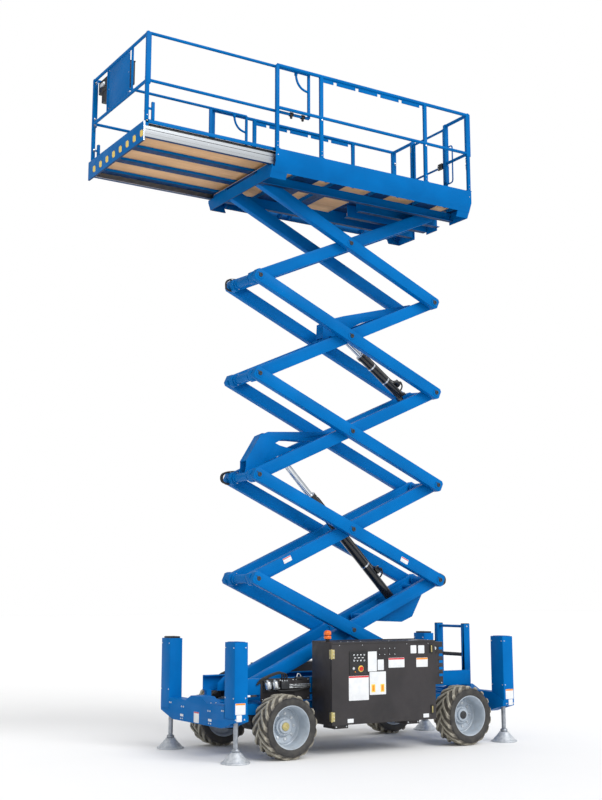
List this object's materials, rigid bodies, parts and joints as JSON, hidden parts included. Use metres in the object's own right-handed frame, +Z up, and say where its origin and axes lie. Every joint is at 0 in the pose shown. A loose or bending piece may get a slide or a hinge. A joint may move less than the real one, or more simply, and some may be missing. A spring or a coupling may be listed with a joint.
{
  "type": "rough-terrain scissor lift",
  "caption": "Rough-terrain scissor lift, half raised, with a roll-out deck, guardrails, steered wheels, side boxes and outriggers set down.",
  "frame": {"origin": "centre of the footprint box at ground level", "axes": "+X towards the steered axle and the roll-out end, +Y the machine's left, +Z up"},
  "size_m": [4.922, 1.792, 7.659],
  "materials": {
    "blue_paint": "gloss",
    "charcoal_paint": "satin",
    "tread_rubber": "matt, dusty tread",
    "rim_paint": "satin",
    "zinc_steel": "zinc plated",
    "rod_chrome": "polished",
    "barrel_paint": "gloss black",
    "plywood": "raw, matt",
    "amber_lens": "clear amber",
    "axle_paint": "satin black",
    "black_plastic": "matt"
  },
  "bodies": {
    "chassis": {"chassis_frame": "blue_paint", "front_outrigger_frame": "blue_paint", "rear_outrigger_frame": "blue_paint", "front_axle": "axle_paint", "rear_axle": "axle_paint", "engine_block": "axle_paint", "rear_ladder": "blue_paint", "beacon": "amber_lens", "left_side_box": "charcoal_paint", "right_side_box": "charcoal_paint"},
    "left_box_door": {"left_box_door": "charcoal_paint"},
    "right_box_door": {"right_box_door": "charcoal_paint"},
    "front_left_knuckle": {"front_left_knuckle": "axle_paint"},
    "front_right_knuckle": {"front_right_knuckle": "axle_paint"},
    "front_left_wheel": {"front_left_tyre": "tread_rubber", "front_left_rim": "rim_paint"},
    "front_right_wheel": {"front_right_tyre": "tread_rubber", "front_right_rim": "rim_paint"},
    "rear_left_wheel": {"rear_left_tyre": "tread_rubber", "rear_left_rim": "rim_paint"},
    "rear_right_wheel": {"rear_right_tyre": "tread_rubber", "rear_right_rim": "rim_paint"},
    "front_left_foot": {"front_left_outrigger_foot": "zinc_steel"},
    "front_right_foot": {"front_right_outrigger_foot": "zinc_steel"},
    "rear_left_foot": {"rear_left_outrigger_foot": "zinc_steel"},
    "rear_right_foot": {"rear_right_outrigger_foot": "zinc_steel"},
    "inner_scissor_1": {"inner_scissor_frame_1": "blue_paint"},
    "outer_scissor_1": {"left_outer_arm_1": "blue_paint", "right_outer_arm_1": "blue_paint"},
    "inner_scissor_2": {"inner_scissor_frame_2": "blue_paint"},
    "outer_scissor_2": {"left_outer_arm_2": "blue_paint", "right_outer_arm_2": "blue_paint"},
    "inner_scissor_3": {"inner_scissor_frame_3": "blue_paint"},
    "outer_scissor_3": {"left_outer_arm_3": "blue_paint", "right_outer_arm_3": "blue_paint"},
    "inner_scissor_4": {"inner_scissor_frame_4": "blue_paint"},
    "outer_scissor_4": {"left_outer_arm_4": "blue_paint", "right_outer_arm_4": "blue_paint"},
    "inner_scissor_5": {"inner_scissor_frame_5": "blue_paint"},
    "outer_scissor_5": {"left_outer_arm_5": "blue_paint", "right_outer_arm_5": "blue_paint"},
    "lower_barrel": {"lower_cylinder_barrel": "barrel_paint"},
    "lower_rod": {"lower_cylinder_rod": "rod_chrome"},
    "upper_barrel": {"upper_cylinder_barrel": "barrel_paint"},
    "upper_rod": {"upper_cylinder_rod": "rod_chrome"},
    "platform": {"platform_frame": "blue_paint", "main_deck": "plywood", "rear_toe_board": "blue_paint", "left_guardrail": "blue_paint", "right_guardrail": "blue_paint"},
    "entry_gate": {"entry_gate": "blue_paint"},
    "extension": {"extension_frame": "blue_paint", "extension_deck": "plywood", "extension_guardrail": "blue_paint", "front_panel": "blue_paint", "manual_box": "black_plastic", "platform_control_box": "black_plastic"}
  },
  "joints": [
    {"name": "scissor_lift", "type": "hinge", "parent": "chassis", "child": "inner_scissor_1", "pos_m": [0.788, 0, 0.7265], "axis": [0, 1, 0], "range_deg": [-20, 30.5]},
    {"name": "cross_pin_1", "type": "hinge", "parent": "inner_scissor_1", "child": "outer_scissor_1", "pos_m": [-0.46582, 0, 1.29455], "axis": [0, 1, 0], "range_deg": [-61, 40]},
    {"name": "front_pin_1", "type": "hinge", "parent": "outer_scissor_1", "child": "inner_scissor_2", "pos_m": [0.788, 0, 1.8626], "axis": [0, 1, 0], "range_deg": [-40, 61]},
    {"name": "rear_pin_1", "type": "hinge", "parent": "inner_scissor_1", "child": "outer_scissor_2", "pos_m": [-1.71965, 0, 1.8626], "axis": [0, 1, 0], "range_deg": [-61, 40]},
    {"name": "front_pin_2", "type": "hinge", "parent": "outer_scissor_2", "child": "inner_scissor_3", "pos_m": [0.788, 0, 2.99869], "axis": [0, 1, 0], "range_deg": [-40, 61]},
    {"name": "cross_pin_3", "type": "hinge", "parent": "inner_scissor_3", "child": "outer_scissor_3", "pos_m": [-0.46582, 0, 3.56674], "axis": [0, 1, 0], "range_deg": [-61, 40]},
    {"name": "front_pin_3", "type": "hinge", "parent": "outer_scissor_3", "child": "inner_scissor_4", "pos_m": [0.788, 0, 4.13478], "axis": [0, 1, 0], "range_deg": [-40, 61]},
    {"name": "rear_pin_3", "type": "hinge", "parent": "inner_scissor_3", "child": "outer_scissor_4", "pos_m": [-1.71965, 0, 4.13478], "axis": [0, 1, 0], "range_deg": [-61, 40]},
    {"name": "front_pin_4", "type": "hinge", "parent": "outer_scissor_4", "child": "inner_scissor_5", "pos_m": [0.788, 0, 5.27088], "axis": [0, 1, 0], "range_deg": [-40, 61]},
    {"name": "cross_pin_5", "type": "hinge", "parent": "inner_scissor_5", "child": "outer_scissor_5", "pos_m": [-0.46582, 0, 5.83893], "axis": [0, 1, 0], "range_deg": [-61, 40]},
    {"name": "platform_pin", "type": "hinge", "parent": "outer_scissor_5", "child": "platform", "pos_m": [0.788, 0, 6.40698], "axis": [0, 1, 0], "range_deg": [-20, 30.5]},
    {"name": "lower_cylinder_pivot", "type": "hinge", "parent": "inner_scissor_1", "child": "lower_barrel", "pos_m": [-1.39603, 0, 1.49301], "axis": [0, 1, 0], "range_deg": [-54.43, 35.7]},
    {"name": "lower_cylinder_stroke", "type": "slide", "parent": "lower_barrel", "child": "lower_rod", "axis": [0.6966, 0, 0.7174], "range_m": [-0.6326, 0.9644]},
    {"name": "upper_cylinder_pivot", "type": "hinge", "parent": "inner_scissor_3", "child": "upper_barrel", "pos_m": [-1.47598, 0, 4.08499], "axis": [0, 1, 0], "range_deg": [-58.6, 38.43]},
    {"name": "upper_cylinder_stroke", "type": "slide", "parent": "upper_barrel", "child": "upper_rod", "axis": [0.8033, 0, 0.5955], "range_m": [-0.1786, 0.2721]},
    {"name": "deck_extension", "type": "slide", "parent": "platform", "child": "extension", "axis": [1, 0, 0], "range_m": [-1.5, 0]},
    {"name": "entry_gate", "type": "hinge", "parent": "platform", "child": "entry_gate", "pos_m": [-1.96, -0.307, 7.1], "axis": [0, 0, -1], "range_deg": [0, 90]},
    {"name": "left_box_door", "type": "hinge", "parent": "chassis", "child": "left_box_door", "pos_m": [0.184, 0.87, 0.75], "axis": [0, 0, -1], "range_deg": [0, 90]},
    {"name": "right_box_door", "type": "hinge", "parent": "chassis", "child": "right_box_door", "pos_m": [0.184, -0.87, 0.75], "axis": [0, 0, 1], "range_deg": [0, 90]},
    {"name": "left_steering", "type": "hinge", "parent": "chassis", "child": "front_left_knuckle", "pos_m": [0.679, 0.515, 0.33], "axis": [0, 0, 1], "range_deg": [-30, 30]},
    {"name": "right_steering", "type": "hinge", "parent": "chassis", "child": "front_right_knuckle", "pos_m": [0.679, -0.515, 0.33], "axis": [0, 0, 1], "range_deg": [-30, 30]},
    {"name": "front_left_wheel_spin", "type": "hinge", "parent": "front_left_knuckle", "child": "front_left_wheel", "pos_m": [0.679, 0.7225, 0.33], "axis": [0, 1, 0], "continuous": true},
    {"name": "front_right_wheel_spin", "type": "hinge", "parent": "front_right_knuckle", "child": "front_right_wheel", "pos_m": [0.679, -0.7225, 0.33], "axis": [0, 1, 0], "continuous": true},
    {"name": "rear_left_wheel_spin", "type": "hinge", "parent": "chassis", "child": "rear_left_wheel", "pos_m": [-1.711, 0.7225, 0.33], "axis": [0, 1, 0], "continuous": true},
    {"name": "rear_right_wheel_spin", "type": "hinge", "parent": "chassis", "child": "rear_right_wheel", "pos_m": [-1.711, -0.7225, 0.33], "axis": [0, 1, 0], "continuous": true},
    {"name": "front_left_outrigger", "type": "slide", "parent": "chassis", "child": "front_left_foot", "axis": [0, 0, 1], "range_m": [-0.15, 0.25]},
    {"name": "front_right_outrigger", "type": "slide", "parent": "chassis", "child": "front_right_foot", "axis": [0, 0, 1], "range_m": [-0.15, 0.25]},
    {"name": "rear_left_outrigger", "type": "slide", "parent": "chassis", "child": "rear_left_foot", "axis": [0, 0, 1], "range_m": [-0.15, 0.25]},
    {"name": "rear_right_outrigger", "type": "slide", "parent": "chassis", "child": "rear_right_foot", "axis": [0, 0, 1], "range_m": [-0.15, 0.25]}
  ],
  "couplings": [
    {"joint": "cross_pin_1", "follows": "scissor_lift", "ratio": -2},
    {"joint": "front_pin_1", "follows": "scissor_lift", "ratio": 2},
    {"joint": "rear_pin_1", "follows": "scissor_lift", "ratio": -2},
    {"joint": "front_pin_2", "follows": "scissor_lift", "ratio": 2},
    {"joint": "cross_pin_3", "follows": "scissor_lift", "ratio": -2},
    {"joint": "front_pin_3", "follows": "scissor_lift", "ratio": 2},
    {"joint": "rear_pin_3", "follows": "scissor_lift", "ratio": -2},
    {"joint": "front_pin_4", "follows": "scissor_lift", "ratio": 2},
    {"joint": "cross_pin_5", "follows": "scissor_lift", "ratio": -2},
    {"joint": "platform_pin", "follows": "scissor_lift", "ratio": 1},
    {"joint": "lower_cylinder_pivot", "follows": "scissor_lift", "ratio": -1.7844},
    {"joint": "lower_cylinder_stroke", "follows": "scissor_lift", "m_per_rad": 1.8107},
    {"joint": "upper_cylinder_pivot", "follows": "scissor_lift", "ratio": -1.9211},
    {"joint": "upper_cylinder_stroke", "follows": "scissor_lift", "m_per_rad": 0.51017},
    {"joint": "right_steering", "follows": "left_steering", "ratio": 1}
  ]
}
